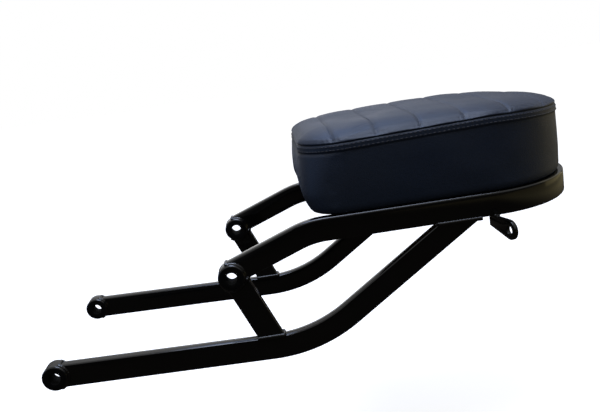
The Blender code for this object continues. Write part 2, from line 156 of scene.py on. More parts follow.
# Sewn channels, in metres
QUILT_START = 0.0008
QUILT_EASE = 0.003
GROOVE_WIDTH = 0.0022
PILLOW_DEPTH = 0.0004
TOP_SLACK = 0.0005
PUCKER_REACH = 0.007
PUCKERS = ((0.0055, 0.0016, 0.0009), (0.0105, 0.0018, 0.0005))
SIDE_DRIFT = 0.0006
SIDE_DRIFT_TOP = -0.009
SIDE_DRIFT_FOOT = 0.006
SIDE_DRIFT_EASE = 0.02

# Stitches, in metres
STITCH_SHARE = 0.8
STITCH_DIP = 0.35
UPPER_ROW_RISE = -0.0020
LOWER_ROW_RISE = -0.0058
ROW_CLEARANCE = 0.01
ROW_CENTRE_X = 0.43
CHANNEL_END = 0.004
ABOVE_SEAT_Z = 0.3

# Studio, in metres, with the sensor in millimetres
FLOOR_SIZE = 14
FLOOR_CENTRE_X = 0.28
FLOOR_GLOW = 0.62
LIGHT_AIM = (0.3, 0.0, 0.1)
SENSOR_WIDTH = 36.0
WHITE = (1.0, 1.0, 1.0, 1.0)


def nodes_named(*starts):
    """Return the names of the frame's nodes that start in one of these ways."""
    return [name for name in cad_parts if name.startswith(starts)]


STEEL_NODES = nodes_named("seat_hoop", "lower_rail", "strut")
FITTING_NODES = nodes_named(
    "lower_bush", "upper_lug", "rear_ear", "front_cross_plate", "rear_cross_plate"
)
FASTENER_NODES = nodes_named("seat_screw", "washer", "tee_nut")


def linear(hex_colour):
    """Turn an sRGB hex colour into linear red, green, blue and alpha."""
    channels = [int(hex_colour[at:at + 2], 16) / 255 for at in (1, 3, 5)]
    return (
        *(
            value / 12.92 if value <= 0.04045 else ((value + 0.055) / 1.055) ** 2.4
            for value in channels
        ),
        1.0,
    )


class SeatRackCover(bpy.types.PropertyGroup):
    """Sizes and colours of the cushion's cover."""

    leather: bpy.props.FloatVectorProperty(
        name="Leatherette", description="Colour of the cover", size=4,
        subtype="COLOR", default=linear("#192539"),
    )
    thread: bpy.props.FloatVectorProperty(
        name="Thread", description="Colour of the sewing thread", size=4,
        subtype="COLOR", default=linear("#2B2F3A"),
    )
    front_crown: bpy.props.FloatProperty(
        name="Front crown", description="Rise of the top above its seam, at the front",
        unit="LENGTH", default=0.0140,
    )
    rear_crown: bpy.props.FloatProperty(
        name="Rear crown", description="Rise of the top above its seam, at the rear",
        unit="LENGTH", default=0.0095,
    )
    swell: bpy.props.FloatProperty(
        name="Swell", description="Furthest that the foam pushes the cover out",
        unit="LENGTH", default=0.003,
    )
    channel_first: bpy.props.FloatProperty(
        name="First channel", description="Place of the front sewn channel",
        unit="LENGTH", default=0.316,
    )
    channel_pitch: bpy.props.FloatProperty(
        name="Channel pitch", description="Distance between sewn channels",
        unit="LENGTH", default=0.045,
    )
    channel_count: bpy.props.IntProperty(
        name="Channels", description="How many channels are sewn across the top",
        default=6,
    )
    channel_depth: bpy.props.FloatProperty(
        name="Channel depth", description="How deep a channel pulls the top in",
        unit="LENGTH", default=0.0014,
    )
    stitch_pitch: bpy.props.FloatProperty(
        name="Stitch pitch", description="Distance from one stitch to the next",
        unit="LENGTH", default=0.0048,
    )
    thread_width: bpy.props.FloatProperty(
        name="Thread width", description="Thickness of the sewing thread",
        unit="LENGTH", default=0.0009,
    )


class SeatRackSteel(bpy.types.PropertyGroup):
    """Sizes and colours of the steel and its fasteners."""

    paint: bpy.props.FloatVectorProperty(
        name="Paint", description="Colour of the frame's enamel", size=4,
        subtype="COLOR", default=linear("#060606"),
    )
    zinc: bpy.props.FloatVectorProperty(
        name="Zinc", description="Colour of the plated fasteners", size=4,
        subtype="COLOR", default=linear("#C4C6C9"),
    )
    plywood: bpy.props.FloatVectorProperty(
        name="Plywood", description="Colour of the seat's base board", size=4,
        subtype="COLOR", default=linear("#B8976A"),
    )
    weld_width: bpy.props.FloatProperty(
        name="Weld width", description="Width of a weld bead",
        unit="LENGTH", default=0.0050,
    )
    weld_pitch: bpy.props.FloatProperty(
        name="Weld pitch", description="Distance between a bead's ripples",
        unit="LENGTH", default=0.0013,
    )


class SeatRackStudio(bpy.types.PropertyGroup):
    """Camera and light."""

    focal_length: bpy.props.FloatProperty(
        name="Focal length", description="Camera lens, in millimetres", default=43.32,
    )
    camera_place: bpy.props.FloatVectorProperty(
        name="Camera place", description="Where the camera stands",
        subtype="TRANSLATION", default=(0.25314, -0.81367, 0.2996),
    )
    camera_yaw: bpy.props.FloatProperty(
        name="Yaw", description="Turn of the camera towards +X",
        subtype="ANGLE", default=0.031476,
    )
    camera_pitch: bpy.props.FloatProperty(
        name="Pitch", description="Dip of the camera below level",
        subtype="ANGLE", default=0.220694,
    )
    camera_roll: bpy.props.FloatProperty(
        name="Roll", description="Tilt of the camera about its view",
        subtype="ANGLE", default=0.142655,
    )
    floor_drop: bpy.props.FloatProperty(
        name="Floor drop", description="Height of the lower bushes above the floor",
        unit="LENGTH", default=0.16,
    )
    floor: bpy.props.FloatVectorProperty(
        name="Floor", description="Colour of the studio floor", size=4,
        subtype="COLOR", default=linear("#F4F4F4"),
    )


def only(*objects):
    """Select these objects and nothing else, with the first one active."""
    if bpy.context.object and bpy.context.object.mode != "OBJECT":
        bpy.ops.object.mode_set(mode="OBJECT")
    bpy.ops.object.select_all(action="DESELECT")
    for item in objects:
        item.select_set(True)
    bpy.context.view_layer.objects.active = objects[0]


def add_node(tree, kind, inputs=None, **settings):
    """Add a node; each input gets a value, or a link if it is given a socket."""
    node = tree.nodes.new(kind)
    for key, value in settings.items():
        setattr(node, key, value)
    for key, value in (inputs or {}).items():
        if isinstance(value, bpy.types.NodeSocket):
            tree.links.new(value, node.inputs[key])
        else:
            node.inputs[key].default_value = value
    return node


def sees_background(tree, behind):
    """Return a factor of 1 where a ray sees the white background, else 0.

    Camera rays see it all round. Glossy and transmission rays see it behind
    the object, and the dim room on the camera's side.
    """
    path = add_node(tree, "ShaderNodeLightPath")
    mirrored = add_node(
        tree, "ShaderNodeMath",
        {0: path.outputs["Is Glossy Ray"], 1: path.outputs["Is Transmission Ray"]},
        operation="MAXIMUM",
    )
    backdrop = add_node(
        tree, "ShaderNodeMath", {0: mirrored.outputs["Value"], 1: behind},
        operation="MULTIPLY",
    )
    seen = add_node(
        tree, "ShaderNodeMath",
        {0: path.outputs["Is Camera Ray"], 1: backdrop.outputs["Value"]},
        operation="MAXIMUM",
    )
    return seen.outputs["Value"]


def start_material(name, **surface):
    """Start a material with a Principled shader whose plain values are given."""
    material = bpy.data.materials.new(name)
    material.use_nodes = True
    tree = material.node_tree
    shader = tree.nodes["Principled BSDF"]
    for key, value in surface.items():
        shader.inputs[key.replace("_", " ")].default_value = value
    place = add_node(tree, "ShaderNodeTexCoord").outputs["Object"]
    return material, tree, shader, place


def gloss_enamel(colour):
    """Sprayed and baked black enamel on steel.

    It is a deep even black with a wet gloss. The skin has a faint orange
    peel, about 2 mm from crest to crest, and hazes a little in places.
    """
    material, tree, shader, place = start_material(
        "sprayed_black_enamel", Base_Color=colour, IOR=1.5,
        Specular_IOR_Level=0.42, Coat_Weight=0.35, Coat_Roughness=0.05,
    )
    haze = add_node(
        tree, "ShaderNodeTexNoise", {"Vector": place, "Scale": 38.0, "Detail": 4.0}
    )
    gloss = add_node(
        tree, "ShaderNodeMapRange",
        {"Value": haze.outputs["Fac"], "From Min": 0.3, "From Max": 0.7,
         "To Min": 0.12, "To Max": 0.21},
    )
    peel = add_node(
        tree, "ShaderNodeTexNoise", {"Vector": place, "Scale": 500.0, "Detail": 1.5}
    )
    skin = add_node(
        tree, "ShaderNodeBump",
        {"Height": peel.outputs["Fac"], "Strength": 0.05, "Distance": 0.0002},
    )
    tree.links.new(gloss.outputs["Result"], shader.inputs["Roughness"])
    tree.links.new(skin.outputs["Normal"], shader.inputs["Normal"])
    return material


def painted_bore_shade(colour):
    """Painted shade inside a bolt hole: the paint made dull and weakly reflecting, with
    a mottled roughness, so that the bore stays dark.
    """
    material, tree, shader, place = start_material(
        "painted_shade_dull_black", Base_Color=colour, Specular_IOR_Level=0.12,
    )
    roughness_mottle = add_node(
        tree, "ShaderNodeTexNoise", {"Vector": place, "Scale": 700.0, "Detail": 3.0}
    )
    dulling = add_node(
        tree, "ShaderNodeMapRange",
        {"Value": roughness_mottle.outputs["Fac"], "To Min": 0.65, "To Max": 0.9},
    )
    tree.links.new(dulling.outputs["Result"], shader.inputs["Roughness"])
    return material


def grained_leatherette(colour):
    """Embossed vinyl leatherette on a knitted back, dark navy.

    The embossed grain is about 1.6 mm across, a little coarser than the real
    one so that it shows. It breaks the soft shine up, and the shade drifts
    slightly from place to place, as on handled vinyl.
    """
    material, tree, shader, place = start_material(
        "embossed_navy_leatherette", IOR=1.5, Specular_IOR_Level=0.4,
        Sheen_Weight=0.08, Sheen_Roughness=0.35, Sheen_Tint=linear("#6F95D0"),
    )
    drift = add_node(
        tree, "ShaderNodeTexNoise", {"Vector": place, "Scale": 14.0, "Detail": 3.0}
    )
    shade = add_node(
        tree, "ShaderNodeMix",
        {"Factor": drift.outputs["Fac"], "A": colour, "B": linear("#1B2533")},
        data_type="RGBA",
    )
    pebbles = add_node(
        tree, "ShaderNodeTexVoronoi",
        {"Vector": place, "Scale": 620.0, "Randomness": 1.0},
        feature="DISTANCE_TO_EDGE",
    )
    creases = add_node(
        tree, "ShaderNodeTexNoise", {"Vector": place, "Scale": 240.0, "Detail": 5.0}
    )
    rounded = add_node(
        tree, "ShaderNodeMapRange",
        {"Value": pebbles.outputs["Distance"], "From Min": 0.0, "From Max": 0.28},
        interpolation_type="SMOOTHSTEP",
    )
    relief = add_node(
        tree, "ShaderNodeMath",
        {0: rounded.outputs["Result"], 1: creases.outputs["Fac"]},
        operation="ADD",
    )
    grain = add_node(
        tree, "ShaderNodeBump",
        {"Height": relief.outputs["Value"], "Strength": 0.35, "Distance": 0.0003},
    )
    polish = add_node(
        tree, "ShaderNodeMapRange",
        {"Value": drift.outputs["Fac"], "From Min": 0.3, "From Max": 0.7,
         "To Min": 0.40, "To Max": 0.50},
    )
    tree.links.new(shade.outputs["Result"], shader.inputs["Base Color"])
    tree.links.new(polish.outputs["Result"], shader.inputs["Roughness"])
    tree.links.new(grain.outputs["Normal"], shader.inputs["Normal"])
    return material


def bonded_thread(colour):
    """Twisted bonded nylon thread: a faint lay of strands, a dull silky shine."""
    material, tree, shader, place = start_material(
        "bonded_nylon_thread", Base_Color=colour, Roughness=0.55, Sheen_Weight=0.3,
    )
    lay = add_node(
        tree, "ShaderNodeTexWave",
        {"Vector": place, "Scale": 900.0, "Distortion": 1.0},
        bands_direction="DIAGONAL",
    )
    twist = add_node(
        tree, "ShaderNodeBump",
        {"Height": lay.outputs["Fac"], "Strength": 0.4, "Distance": 0.0002},
    )
    tree.links.new(twist.outputs["Normal"], shader.inputs["Normal"])
    return material


def zinc_plate(colour):
    """Bright zinc plating on steel: a cool grey metal with a faint cloudy bloom."""
    material, tree, shader, place = start_material(
        "bright_zinc_plate", Base_Color=colour, Metallic=1.0,
    )
    bloom = add_node(
        tree, "ShaderNodeTexNoise", {"Vector": place, "Scale": 300.0, "Detail": 4.0}
    )
    dulling = add_node(
        tree, "ShaderNodeMapRange",
        {"Value": bloom.outputs["Fac"], "To Min": 0.18, "To Max": 0.42},
    )
    tree.links.new(dulling.outputs["Result"], shader.inputs["Roughness"])
    return material


def birch_plywood(colour):
    """Sanded birch plywood: long pale grain on the faces, thin plies on the edge."""
    material, tree, shader, place = start_material(
        "sanded_birch_plywood", Roughness=0.62,
    )
    stretched = add_node(
        tree, "ShaderNodeMapping", {"Vector": place, "Scale": (1.0, 12.0, 1.0)}
    )
    figure = add_node(
        tree, "ShaderNodeTexNoise",
        {"Vector": stretched.outputs["Vector"], "Scale": 22.0, "Detail": 6.0,
         "Distortion": 0.6},
    )
    plies = add_node(
        tree, "ShaderNodeTexWave", {"Vector": place, "Scale": 110.0},
        bands_direction="Z",
    )
    tone = add_node(
        tree, "ShaderNodeMath",
        {0: figure.outputs["Fac"], 1: plies.outputs["Fac"]},
        operation="MULTIPLY",
    )
    wood = add_node(
        tree, "ShaderNodeMix",
        {"Factor": tone.outputs["Value"], "A": colour, "B": linear("#8C6A42")},
        data_type="RGBA",
    )
    fibres = add_node(
        tree, "ShaderNodeBump",
        {"Height": figure.outputs["Fac"], "Strength": 0.2, "Distance": 0.0003},
    )
    tree.links.new(wood.outputs["Result"], shader.inputs["Base Color"])
    tree.links.new(fibres.outputs["Normal"], shader.inputs["Normal"])
    return material


def paint_piece(piece, material):
    """Give a piece one material all over."""
    piece.data.materials.clear()
    piece.data.materials.append(material)


def shared_material(name, make, colour):
    """Return a material that several operators use, made at its first use."""
    return bpy.data.materials.get(name) or make(colour)


def enamel():
    """Return the frame's enamel."""
    steel = bpy.context.scene.seat_rack_steel
    return shared_material("sprayed_black_enamel", gloss_enamel, tuple(steel.paint))


def settle(piece):
    """Shade a piece smooth up to its sharp edges and hang it on the frame."""
    only(piece)
    bpy.ops.object.shade_smooth_by_angle(angle=math.radians(SMOOTH_ANGLE))
    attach(piece, "root")


def new_piece(name, mesh):
    """Put a mesh into the scene as a piece of its own."""
    piece = bpy.data.objects.new(name, mesh)
    bpy.context.scene.collection.objects.link(piece)
    return piece


def cleaned_copy(node_name, piece_name):
    """Copy a solid of the frame into a clean closed mesh of its own."""
    piece = new_piece(piece_name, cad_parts[node_name].data.copy())
    only(piece)
    if piece.data.has_custom_normals:
        bpy.ops.mesh.customdata_custom_splitnormals_clear()
    bpy.ops.object.mode_set(mode="EDIT")
    bpy.ops.mesh.select_all(action="SELECT")
    bpy.ops.mesh.remove_doubles(threshold=MERGE_DISTANCE)
    bpy.ops.object.mode_set(mode="OBJECT")
    return piece


def apply_modifier(piece, kind, **settings):
    """Add a modifier to a piece and apply it."""
    only(piece)
    bpy.ops.object.modifier_add(type=kind)
    modifier = piece.modifiers[-1]
    for key, value in settings.items():
        setattr(modifier, key, value)
    bpy.ops.object.modifier_apply(modifier=modifier.name)


class SEATRACK_OT_tubes(bpy.types.Operator):
    """Smooth and paint the bent tubes"""

    bl_idname = "seatrack.tubes"
    bl_label = "Tubes"

    def execute(self, context):
        for name in STEEL_NODES:
            tube = cleaned_copy(name, name + "_painted")
            paint_piece(tube, enamel())
            settle(tube)
            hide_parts(name)
        return {"FINISHED"}


class SEATRACK_OT_fittings(bpy.types.Operator):
    """Break the edges of the bushes, lugs, ears and plates, and paint them"""

    bl_idname = "seatrack.fittings"
    bl_label = "Fittings"

    def execute(self, context):
        for name in FITTING_NODES:
            fitting = cleaned_copy(name, name + "_painted")
            bpy.ops.object.mode_set(mode="EDIT")
            bpy.ops.mesh.select_all(action="SELECT")
            bpy.ops.mesh.dissolve_limited(angle_limit=math.radians(FLAT_ANGLE))
            bpy.ops.object.mode_set(mode="OBJECT")
            apply_modifier(
                fitting, "BEVEL", width=EDGE_BREAK, segments=3, limit_method="ANGLE",
                angle_limit=math.radians(EDGE_ANGLE), harden_normals=False,
            )
            paint_piece(fitting, enamel())
            if "bush" in name or "lug" in name:
                # the bolt hole's walls get painted shade: a dull, weakly reflecting
                # black
                self.paint_bore_shade(context, fitting)
            settle(fitting)
            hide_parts(name)
        return {"FINISHED"}

    def paint_bore_shade(self, context, fitting):
        """Give the walls of a fitting's bolt hole a dull finish: painted shade that
        keeps the bore dark.
        """
        colour = tuple(context.scene.seat_rack_steel.paint)
        # this dull finish inside the bore is painted shade
        finish = shared_material("painted_shade_dull_black", painted_bore_shade, colour)
        fitting.data.materials.append(finish)
        axis = UPPER_LUG if "lug" in fitting.name else Vector((0.0, 0.0, 0.0))
        for face in fitting.data.polygons:
            away = face.center - axis
            away.y = 0.0
            if away.length < BOLT_HOLE_RADIUS + BORE_TOLERANCE:
                face.material_index = 1


def direction(angle):
    """Return the side-view direction that rises rearward by an angle in degrees."""
    turn = math.radians(angle)
    return Vector((math.cos(turn), 0.0, math.sin(turn)))


def across(heading):
    """Return the side-view direction square to a heading, on its upper side."""
    return Vector((-heading.z, 0.0, heading.x))


def crossing(point, heading, plane_point, normal):
    """Return where a line through a point crosses a plane."""
    return point + heading * ((plane_point - point).dot(normal) / heading.dot(normal))


def around_tube(side_line):
    """Return a loop round a tube from its side-view joint line.

    The line runs over the near face, across, and back over the far face.
    """
    half = Vector((0.0, TUBE_WIDTH / 2, 0.0))
    near = [point - half for point in side_line]
    far = [point + half for point in reversed(side_line)]
    return near + far + near[:1]


def round_joint(centre, radius, start, end):
    """Return side-view points along a round fitting, between two angles."""
    steps = 10
    return [
        centre + direction(start + (end - start) * step / steps) * radius
        for step in range(steps + 1)
    ]


def joint_loops():
    """Return the weld path of each joint on one side of the frame, in side view."""
    up = Vector((0.0, 0.0, 1.0))
    origin = Vector((0.0, 0.0, 0.0))
    dip = direction(-RAIL_DIP_ANGLE)
    half_height = TUBE_HEIGHT / 2
    bush_reach = math.degrees(math.asin(half_height / LOWER_BUSH_RADIUS))
    bush = round_joint(
        origin, LOWER_BUSH_RADIUS,
        bush_reach - RAIL_DIP_ANGLE, -bush_reach - RAIL_DIP_ANGLE,
    )
    arm = direction(ARM_ANGLE)
    arm_base = crossing(ARM_KNEE, arm, UPPER_LUG, Vector((1.0, 0.0, 0.0)))
    lift = (arm_base - UPPER_LUG).dot(across(arm))
    lug_reach = math.degrees(math.asin((half_height - lift) / UPPER_LUG_RADIUS))
    lug_arm = round_joint(
        UPPER_LUG, UPPER_LUG_RADIUS, ARM_WELD_START + ARM_ANGLE, ARM_ANGLE - lug_reach
    )
    lug_arm.insert(0, arm_base + across(arm) * (half_height - ARM_WELD_SINK))
    strut = direction(-STRUT_ANGLE)
    head = crossing(
        ARM_KNEE - across(arm) * half_height, arm,
        UPPER_LUG + Vector((STRUT_HEAD_SETBACK, 0.0, 0.0)), Vector((1.0, 0.0, 0.0)),
    )
    front_edge = head - across(strut) * half_height
    rear_edge = head + across(strut) * half_height
    lug_strut = round_joint(
        UPPER_LUG, UPPER_LUG_RADIUS, STRUT_WELD_START, STRUT_WELD_END
    )
    lug_strut.append(crossing(rear_edge, strut, head, across(arm)))
    rail_top = across(dip) * half_height
    foot_front = crossing(front_edge, strut, rail_top, across(dip))
    foot_rear = crossing(rear_edge, strut, rail_top, across(dip)) + up * FOOT_WELD_LIFT
    foot = [foot_front.lerp(foot_rear, step / 8) for step in range(9)]
    rail_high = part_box("lower_rail_left")[1]
    rail_toe = Vector((rail_high[0], 0.0, rail_high[2]))
    length = TUBE_HEIGHT / math.sin(math.radians(RAIL_RISE_ANGLE))
    mitre = [rail_toe - Vector((length * step / 12, 0.0, 0.0)) for step in range(13)]
    return {
        "bush_weld": around_tube(bush),
        "lug_weld": around_tube(lug_arm),
        "strut_head_weld": around_tube(lug_strut),
        "strut_foot_weld": around_tube(foot),
        "rail_end_weld": around_tube(mitre),
    }


def along(path, pitch):
    """Return places and headings at an even pitch along a path."""
    places = []
    left_over = 0.0
    for start, end in zip(path, path[1:]):
        length = (end - start).length
        if length < 1e-7:
            continue
        heading = (end - start) / length
        travel = left_over
        while travel < length:
            places.append((start + heading * travel, heading))
            travel += pitch
        left_over = travel - length
    return places


def lay_copies(name, shape, places):
    """Make one mesh of copies of a shape, each turned to its own axes."""
    corners = [vert.co for vert in shape.vertices]
    sides = [tuple(face.vertices) for face in shape.polygons]
    points = []
    faces = []
    for place, ahead, out in places:
        side = out.cross(ahead).normalized()
        turn = Matrix((ahead, side, ahead.cross(side))).transposed()
        first = len(points)
        points += [place + turn @ corner for corner in corners]
        faces += [tuple(first + at for at in face) for face in sides]
    mesh = bpy.data.meshes.new(name)
    mesh.from_pydata(points, [], faces)
    return new_piece(name, mesh)


def take_shape(name):
    """Take the mesh of the active object as a shape to copy, and drop the object."""
    model = bpy.context.object
    bpy.ops.object.transform_apply(location=True, rotation=True, scale=True)
    shape = model.data
    shape.name = name
    bpy.data.objects.remove(model)
    return shape


def weld_ripple(width, pitch):
    """Model one ripple of a weld bead: a low round pad, leaning back a little."""
    bpy.ops.object.select_all(action="DESELECT")
    bpy.ops.mesh.primitive_uv_sphere_add(segments=12, ring_count=8, radius=width / 2)
    ripple = bpy.context.object
    ripple.scale = (pitch * RIPPLE_OVERLAP / width, 1.0, RIPPLE_HEIGHT)
    bpy.ops.object.transform_apply(location=False, rotation=False, scale=True)
    for vert in ripple.data.vertices:
        vert.co.x -= vert.co.y ** 2 * RIPPLE_BEND + vert.co.z * RIPPLE_LEAN
    return take_shape("weld_ripple")


class SEATRACK_OT_welds(bpy.types.Operator):
    """Run a weld bead round each joint of the frame"""

    bl_idname = "seatrack.welds"
    bl_label = "Welds"

    def execute(self, context):
        steel = context.scene.seat_rack_steel
        ripple = weld_ripple(steel.weld_width, steel.weld_pitch)
        for side, turn in (("left", -1), ("right", 1)):
            plane = Vector((0.0, SIDE_Y * turn, 0.0))
            for name, loop in joint_loops().items():
                centre = sum(loop, Vector()) / len(loop)
                places = [
                    (place + plane, ahead, place - centre)
                    for place, ahead in along(loop, steel.weld_pitch)
                ]
                bead = lay_copies(name + "_" + side, ripple, places)
                self.finish(bead)
            self.finish(self.ear_bead(side, turn, ripple, steel.weld_pitch))
        for end in ("front", "rear"):
            self.finish(self.plate_bead(end, ripple, steel.weld_pitch))
        return {"FINISHED"}

    def finish(self, bead):
        """Fuse a bead's ripples and paint it with the frame."""
        apply_modifier(bead, "REMESH", mode="VOXEL", voxel_size=WELD_VOXEL)
        apply_modifier(bead, "SMOOTH", factor=0.5, iterations=2)
        paint_piece(bead, enamel())
        only(bead)
        bpy.ops.object.shade_smooth()
        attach(bead, "root")

    def ear_bead(self, side, turn, ripple, pitch):
        """Lay a bead along both faces of an ear, under the hoop."""
        low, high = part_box("rear_ear_" + side)
        sweep = math.radians(EAR_SWEEP_ANGLE)
        outward = Vector((math.sin(sweep), turn * math.cos(sweep), 0.0))
        skin = outward.cross(Vector((0.0, 0.0, 1.0))) * EAR_HALF_THICKNESS
        inner_y = turn * (SIDE_Y - TUBE_WIDTH / 2)
        root = Vector((low[0] + EAR_WELD_INSET, inner_y, high[2]))
        end = root + outward * (TUBE_WIDTH / math.cos(sweep))
        places = []
        for face in (skin, -skin):
            places += [
                (place, ahead, face)
                for place, ahead in along([root + face, end + face], pitch)
            ]
        return lay_copies("ear_weld_" + side, ripple, places)

    def plate_bead(self, end, ripple, pitch):
        """Lay beads under both ends of a cross plate, against the hoop."""
        low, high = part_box(end + "_cross_plate")
        places = []
        for y in (low[1], high[1]):
            start = Vector((low[0] + PLATE_WELD_INSET, y, low[2]))
            stop = Vector((high[0] - PLATE_WELD_INSET, y, low[2]))
            places += [
                (place, ahead, Vector((0.0, -y, -abs(y))))
                for place, ahead in along([start, stop], pitch)
            ]
        return lay_copies(end + "_plate_weld", ripple, places)


def seat_ring(inset, corner_radius=SEAT_FRONT_CORNER, reach=0.0):
    """Return the cushion's outline in plan, drawn in from its edge all round.

    It starts at the middle of the front and runs round by the left side. The
    front may have tighter corners and reach further forward than the board's.
    """
    half = SEAT_HALF_WIDTH - inset
    corner = corner_radius * half / SEAT_HALF_WIDTH
    front = SEAT_FRONT_X + inset - reach
    rear = SEAT_REAR_REACH - inset
    points = [
        (front, -(half - corner) * step / FRONT_STEPS) for step in range(FRONT_STEPS)
    ]
    for step in range(CORNER_STEPS):
        turn = math.radians(180 + 90 * step / CORNER_STEPS)
        points.append((
            front + corner + corner * math.cos(turn),
            corner - half + corner * math.sin(turn),
        ))
    straight = SEAT_ROUND_X - front - corner
    points += [
        (front + corner + straight * step / SIDE_STEPS, -half)
        for step in range(SIDE_STEPS)
    ]
    for step in range(REAR_STEPS):
        turn = math.radians(-90 + 90 * step / REAR_STEPS)
        points.append((SEAT_ROUND_X + rear * math.cos(turn), half * math.sin(turn)))
    mirrored = [(x, -y) for x, y in reversed(points[1:])]
    return points + [(SEAT_ROUND_X + rear, 0.0)] + mirrored


def graded(front, rear, x):
    """Return a value that grades evenly from the cushion's front to the hoop's rear."""
    length = HOOP_REACH - SEAT_FRONT_X
    return front + (rear - front) * (x - SEAT_FRONT_X) / length


def seam_rise(x):
    """Return the height of the top seam above the cushion's foot.

    The seam rises evenly rearward, and falls off again round the rear end.
    """
    heel = max(0.0, (x - SEAT_HEEL_X) / (HOOP_REACH - SEAT_HEEL_X))
    return graded(SEAT_FRONT_BAND, SEAT_REAR_BAND, x) - SEAT_HEEL_DROP * heel ** 1.3


def above_seam(point):
    """Return how far a point of the cover is above the top seam."""
    return point.z - SEAT_FOOT_Z - seam_rise(point.x)


def side_ring(inset, share):
    """Return the outline at a share of the side's height.

    The foam pushes the front out, and its foot is pulled back under the seat.
    """
    reach = FRONT_REACH + FRONT_BULGE * math.sin(math.pi * share) - FRONT_LEAN * share
    tuck = max(0.0, 1 - share / TUCKED_SHARE)
    corner = FOOT_CORNER + CORNER_GROWTH * share
    return seat_ring(inset, corner, reach - FRONT_TUCK * tuck ** 1.4)


def cover_levels(cover):
    """Return the cover's rings, from the board's pocket over the side to the top."""
    pocket = seat_ring(BOARD_POCKET_INSET)
    ceiling = SEAT_FOOT_Z + BOARD_POCKET_DEPTH
    levels = [[(x, y, ceiling) for x, y in pocket]]
    levels.append([(x, y, SEAT_FOOT_Z + POCKET_LIP) for x, y in pocket])
    for inset, rise in FOOT_ROLL:
        share = rise / SEAT_REAR_BAND
        levels.append([(x, y, SEAT_FOOT_Z + rise) for x, y in side_ring(inset, share)])
    for step in range(1, WALL_STEPS):
        share = step / WALL_STEPS
        levels.append([
            (x, y, SEAT_FOOT_Z + WALL_START + (seam_rise(x) - WALL_TRIM) * share)
            for x, y in side_ring(WALL_INSET, 0.1 + 0.8 * share)
        ])
    for inset, rise in SEAM_FOLD:
        levels.append([
            (x, y, SEAT_FOOT_Z + seam_rise(x) + rise) for x, y in side_ring(inset, 1.0)
        ])
    for step in range(1, TOP_STEPS + 1):
        share = step / TOP_STEPS
        inset = SHOULDER + (SEAT_HALF_WIDTH - SHOULDER) * share ** 1.5
        bow = 1 - (1 - inset / SEAT_HALF_WIDTH) ** BOW_POWER
        ring = []
        for x, y in side_ring(inset, 1.0):
            lift = graded(cover.front_crown, cover.rear_crown, x) - CROWN_START
            z = SEAT_FOOT_Z + seam_rise(x) + CROWN_START + lift * bow
            ring.append((x, y, z))
        levels.append(ring)
    return levels


def loft(name, levels):
    """Join rings of equal length into one closed body."""
    bm = bmesh.new()
    rings = [[bm.verts.new(point) for point in level] for level in levels]
    for lower, upper in zip(rings, rings[1:]):
        for at in range(len(lower)):
            after = (at + 1) % len(lower)
            bm.faces.new((lower[at], lower[after], upper[after], upper[at]))
    bm.faces.new(list(reversed(rings[0])))
    bmesh.ops.remove_doubles(bm, verts=rings[-1], dist=MERGE_DISTANCE)
    bmesh.ops.dissolve_degenerate(bm, edges=bm.edges, dist=0.000001)
    bmesh.ops.recalc_face_normals(bm, faces=bm.faces)
    mesh = bpy.data.meshes.new(name)
    bm.to_mesh(mesh)
    bm.free()
    return new_piece(name, mesh)


def swell(piece, limit):
    """Let foam pressure round the cover out, held at its foot and along the seam."""
    mesh = piece.data
    rest = [vert.co.copy() for vert in mesh.vertices]
    held = []
    for vert in mesh.vertices:
        at_foot = vert.co.z < SEAT_FOOT_Z + HELD_FOOT
        if at_foot or HELD_UNDER_SEAM < above_seam(vert.co) < HELD_OVER_SEAM:
            held.append(vert.index)
    group = piece.vertex_groups.new(name="held")
    group.add(held, 1.0, "REPLACE")
    only(piece)
    bpy.ops.object.modifier_add(type="CLOTH")
    cloth = piece.modifiers[-1]
    cloth.settings.quality = 6
    cloth.settings.vertex_group_mass = group.name
    cloth.settings.use_pressure = True
    cloth.settings.uniform_pressure_force = FOAM_PRESSURE
    cloth.settings.effector_weights.gravity = 0.0
    for number in range(1, SWELL_FRAMES + 1):
        bpy.context.scene.frame_set(number)
    bpy.ops.object.modifier_apply(modifier=cloth.name)
    bpy.context.scene.frame_set(1)
    for vert, start in zip(piece.data.vertices, rest):
        move = vert.co - start
        if move.length > 1e-9:
            vert.co = start + move.normalized() * limit * math.tanh(move.length / limit)
    piece.vertex_groups.clear()


def refine(piece):
    """Split the cover's small faces once more, and relax them away from the seam."""
    only(piece)
    bpy.ops.object.mode_set(mode="EDIT")
    bpy.ops.mesh.select_mode(type="FACE")
    bpy.ops.mesh.select_all(action="DESELECT")
    bpy.ops.object.mode_set(mode="OBJECT")
    for face in piece.data.polygons:
        face.select = len(face.vertices) < 5
    bpy.ops.object.mode_set(mode="EDIT")
    bpy.ops.mesh.subdivide(number_cuts=1)
    bpy.ops.mesh.select_mode(type="VERT")
    bpy.ops.mesh.select_all(action="DESELECT")
    bpy.ops.object.mode_set(mode="OBJECT")
    for vert in piece.data.vertices:
        clear_of_foot = vert.co.z > SEAT_FOOT_Z + RELAXED_FOOT
        in_crease = CREASE_UNDER_SEAM < above_seam(vert.co) < CREASE_OVER_SEAM
        vert.select = clear_of_foot and not in_crease
    bpy.ops.object.mode_set(mode="EDIT")
    bpy.ops.mesh.vertices_smooth(factor=0.5, repeat=2)
    bpy.ops.object.mode_set(mode="OBJECT")


def channel_places(cover):
    """Return the places of the sewn channels along the seat."""
    return [
        cover.channel_first + cover.channel_pitch * step
        for step in range(cover.channel_count)
    ]


